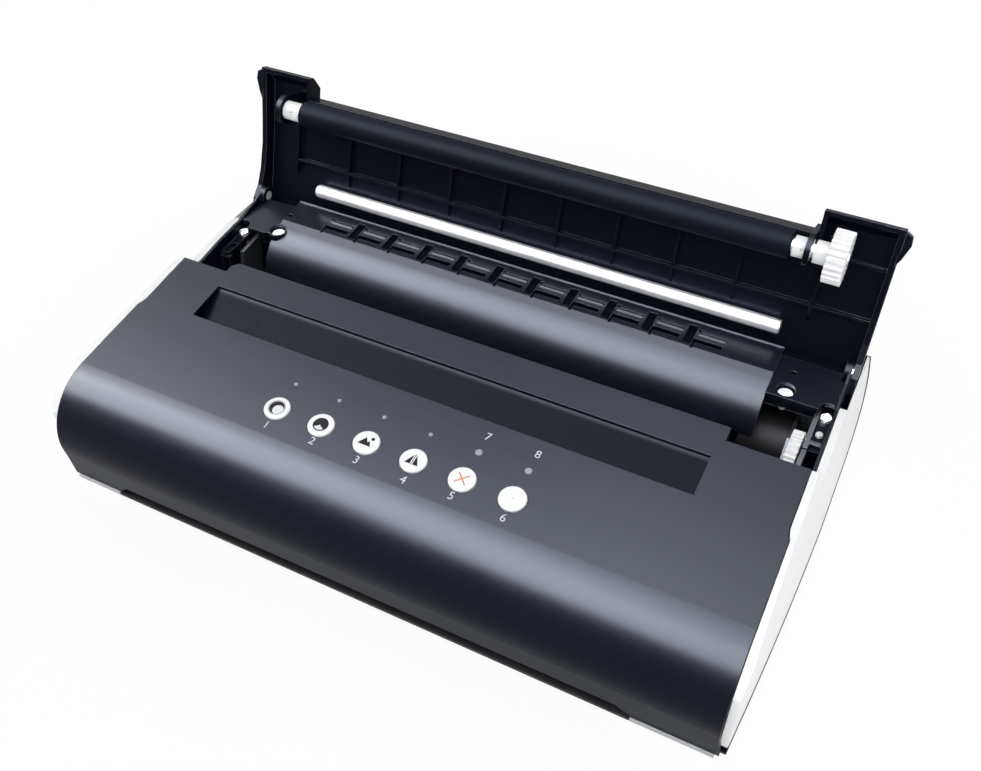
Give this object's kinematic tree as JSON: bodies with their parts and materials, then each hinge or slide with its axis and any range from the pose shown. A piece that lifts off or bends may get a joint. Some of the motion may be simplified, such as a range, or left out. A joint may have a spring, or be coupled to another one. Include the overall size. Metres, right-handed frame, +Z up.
{
  "type": "thermal stencil copier",
  "caption": "Desktop thermal stencil copier: slate cover with feed slot and round buttons, hinged rear lid carrying a driven platen roller over a thermal head.",
  "frame": {"origin": "on the table under the middle of the machine, at the feet's undersides", "axes": "+X to the machine's right as the operator sees it, +Y to the rear where the lid hinges, +Z up"},
  "size_m": [0.3346, 0.1998, 0.1201],
  "materials": {
    "slate_plastic": "satin",
    "navy_plastic": "satin",
    "white_plastic": "semi-gloss",
    "lip_plastic": "satin",
    "pale_gear": "satin",
    "black_plastic": "satin",
    "roller_rubber": "matte",
    "bright_steel": "polished",
    "sheet_steel": "satin",
    "motor_metal": "satin",
    "brass_pinion": "satin",
    "head_aluminium": "satin",
    "head_glaze": "glazed",
    "circuit_board": "satin",
    "scan_window": "polished",
    "led_lens": "clear"
  },
  "bodies": {
    "base": {"base_casing": "navy_plastic", "button_board": "circuit_board", "deck_screws": "bright_steel", "drive_gear_pin": "bright_steel", "frame_screws": "bright_steel", "front_cover": "slate_plastic", "front_lip": "lip_plastic", "head_pins": "bright_steel", "head_springs": "sheet_steel", "hinge_pins": "bright_steel", "led_lenses": "led_lens", "left_frame_plate": "sheet_steel", "left_side_panel": "white_plastic", "lid_switch": "black_plastic", "main_board": "circuit_board", "motor_bracket": "sheet_steel", "paper_guide": "black_plastic", "platen_motor": "motor_metal", "power_board": "circuit_board", "power_inlet": "black_plastic", "rear_deck": "slate_plastic", "right_frame_plate": "sheet_steel", "right_side_panel": "white_plastic", "rubber_feet": "roller_rubber", "scan_bar": "black_plastic", "scan_frames": "sheet_steel", "scan_glass": "scan_window", "scan_idler_pin": "bright_steel", "scan_motor": "motor_metal", "switch_bezel": "black_plastic", "tact_switches": "black_plastic"},
    "lid": {"lid_shell": "navy_plastic", "left_bush": "white_plastic", "right_bush": "white_plastic", "guide_rod": "bright_steel", "rod_clip": "black_plastic"},
    "platen": {"platen_rubber": "roller_rubber", "platen_shaft": "bright_steel", "platen_gear": "white_plastic"},
    "drive_gear": {"drive_gear": "white_plastic"},
    "platen_motor_rotor": {"platen_motor_pinion": "brass_pinion"},
    "scan_roller": {"scan_roller": "roller_rubber", "scan_shaft": "bright_steel", "scan_gear": "pale_gear"},
    "exit_roller": {"exit_roller": "roller_rubber", "exit_shaft": "bright_steel", "exit_gear": "pale_gear"},
    "scan_idler": {"scan_idler_gear": "pale_gear"},
    "scan_motor_rotor": {"scan_motor_pinion": "brass_pinion"},
    "pinch_rollers": {"pinch_rollers": "bright_steel"},
    "thermal_head": {"thermal_head": "head_glaze", "head_heatsink": "head_aluminium"},
    "power_rocker": {"power_rocker": "black_plastic"},
    "lid_switch_pin": {"lid_switch_pin": "white_plastic"},
    "lighter_button": {"lighter_button": "white_plastic"},
    "darker_button": {"darker_button": "white_plastic"},
    "photo_button": {"photo_button": "white_plastic"},
    "mirror_button": {"mirror_button": "white_plastic"},
    "stop_button": {"stop_button": "white_plastic"},
    "copy_button": {"copy_button": "white_plastic"}
  },
  "joints": [
    {"name": "lid_hinge", "type": "hinge", "parent": "base", "child": "lid", "pos_m": [0, 0.069, 0.0565], "axis": [1, 0, 0], "range_deg": [0, 111.4]},
    {"name": "platen_spin", "type": "hinge", "parent": "lid", "child": "platen", "pos_m": [0, 0.07822, 0.10798], "axis": [1, 0, 0], "continuous": true},
    {"name": "drive_gear_spin", "type": "hinge", "parent": "base", "child": "drive_gear", "pos_m": [0, 0.02124, 0.0285], "axis": [1, 0, 0], "continuous": true},
    {"name": "platen_motor_spin", "type": "hinge", "parent": "base", "child": "platen_motor_rotor", "pos_m": [0, 0.04746, 0.02147], "axis": [1, 0, 0], "continuous": true},
    {"name": "scan_roller_spin", "type": "hinge", "parent": "base", "child": "scan_roller", "pos_m": [0, -0.06247, 0.03686], "axis": [1, 0, 0], "continuous": true},
    {"name": "exit_roller_spin", "type": "hinge", "parent": "base", "child": "exit_roller", "pos_m": [0, -0.08575, 0.01871], "axis": [1, 0, 0], "continuous": true},
    {"name": "scan_idler_spin", "type": "hinge", "parent": "base", "child": "scan_idler", "pos_m": [0, -0.07815, 0.03296], "axis": [1, 0, 0], "continuous": true},
    {"name": "scan_motor_spin", "type": "hinge", "parent": "base", "child": "scan_motor_rotor", "pos_m": [0, -0.05564, 0.02402], "axis": [1, 0, 0], "continuous": true},
    {"name": "pinch_roller_spin", "type": "hinge", "parent": "base", "child": "pinch_rollers", "pos_m": [0, -0.08076, 0.01184], "axis": [1, 0, 0], "continuous": true},
    {"name": "head_float", "type": "slide", "parent": "base", "child": "thermal_head", "axis": [0, 0, 1], "range_m": [-0.0015, 0], "stiffness_N_per_m": 2000, "springref_m": 0.004, "deforming": ["head_springs"]},
    {"name": "power_rocker_tilt", "type": "hinge", "parent": "base", "child": "power_rocker", "pos_m": [-0.089, 0.072, 0.02125], "axis": [1, 0, 0], "range_deg": [-18, 0]},
    {"name": "lid_switch_slide", "type": "slide", "parent": "base", "child": "lid_switch_pin", "axis": [0, 0, 1], "range_m": [-0.0015, 0], "stiffness_N_per_m": 150, "springref_m": 0.002},
    {"name": "lighter_press", "type": "slide", "parent": "base", "child": "lighter_button", "axis": [0, 0.0872, -0.9962], "range_m": [0, 0.0008], "stiffness_N_per_m": 400, "springref_m": -0.001},
    {"name": "darker_press", "type": "slide", "parent": "base", "child": "darker_button", "axis": [0, 0.0872, -0.9962], "range_m": [0, 0.0008], "stiffness_N_per_m": 400, "springref_m": -0.001},
    {"name": "photo_press", "type": "slide", "parent": "base", "child": "photo_button", "axis": [0, 0.0872, -0.9962], "range_m": [0, 0.0008], "stiffness_N_per_m": 400, "springref_m": -0.001},
    {"name": "mirror_press", "type": "slide", "parent": "base", "child": "mirror_button", "axis": [0, 0.0872, -0.9962], "range_m": [0, 0.0008], "stiffness_N_per_m": 400, "springref_m": -0.001},
    {"name": "stop_press", "type": "slide", "parent": "base", "child": "stop_button", "axis": [0, 0.0872, -0.9962], "range_m": [0, 0.0008], "stiffness_N_per_m": 400, "springref_m": -0.001},
    {"name": "copy_press", "type": "slide", "parent": "base", "child": "copy_button", "axis": [0, 0.0872, -0.9962], "range_m": [0, 0.0008], "stiffness_N_per_m": 400, "springref_m": -0.001}
  ],
  "couplings": [
    {"joint": "platen_motor_spin", "follows": "drive_gear_spin", "ratio": -4},
    {"joint": "exit_roller_spin", "follows": "scan_roller_spin", "ratio": 1},
    {"joint": "scan_idler_spin", "follows": "scan_roller_spin", "ratio": -1.5},
    {"joint": "scan_motor_spin", "follows": "scan_roller_spin", "ratio": -2}
  ]
}
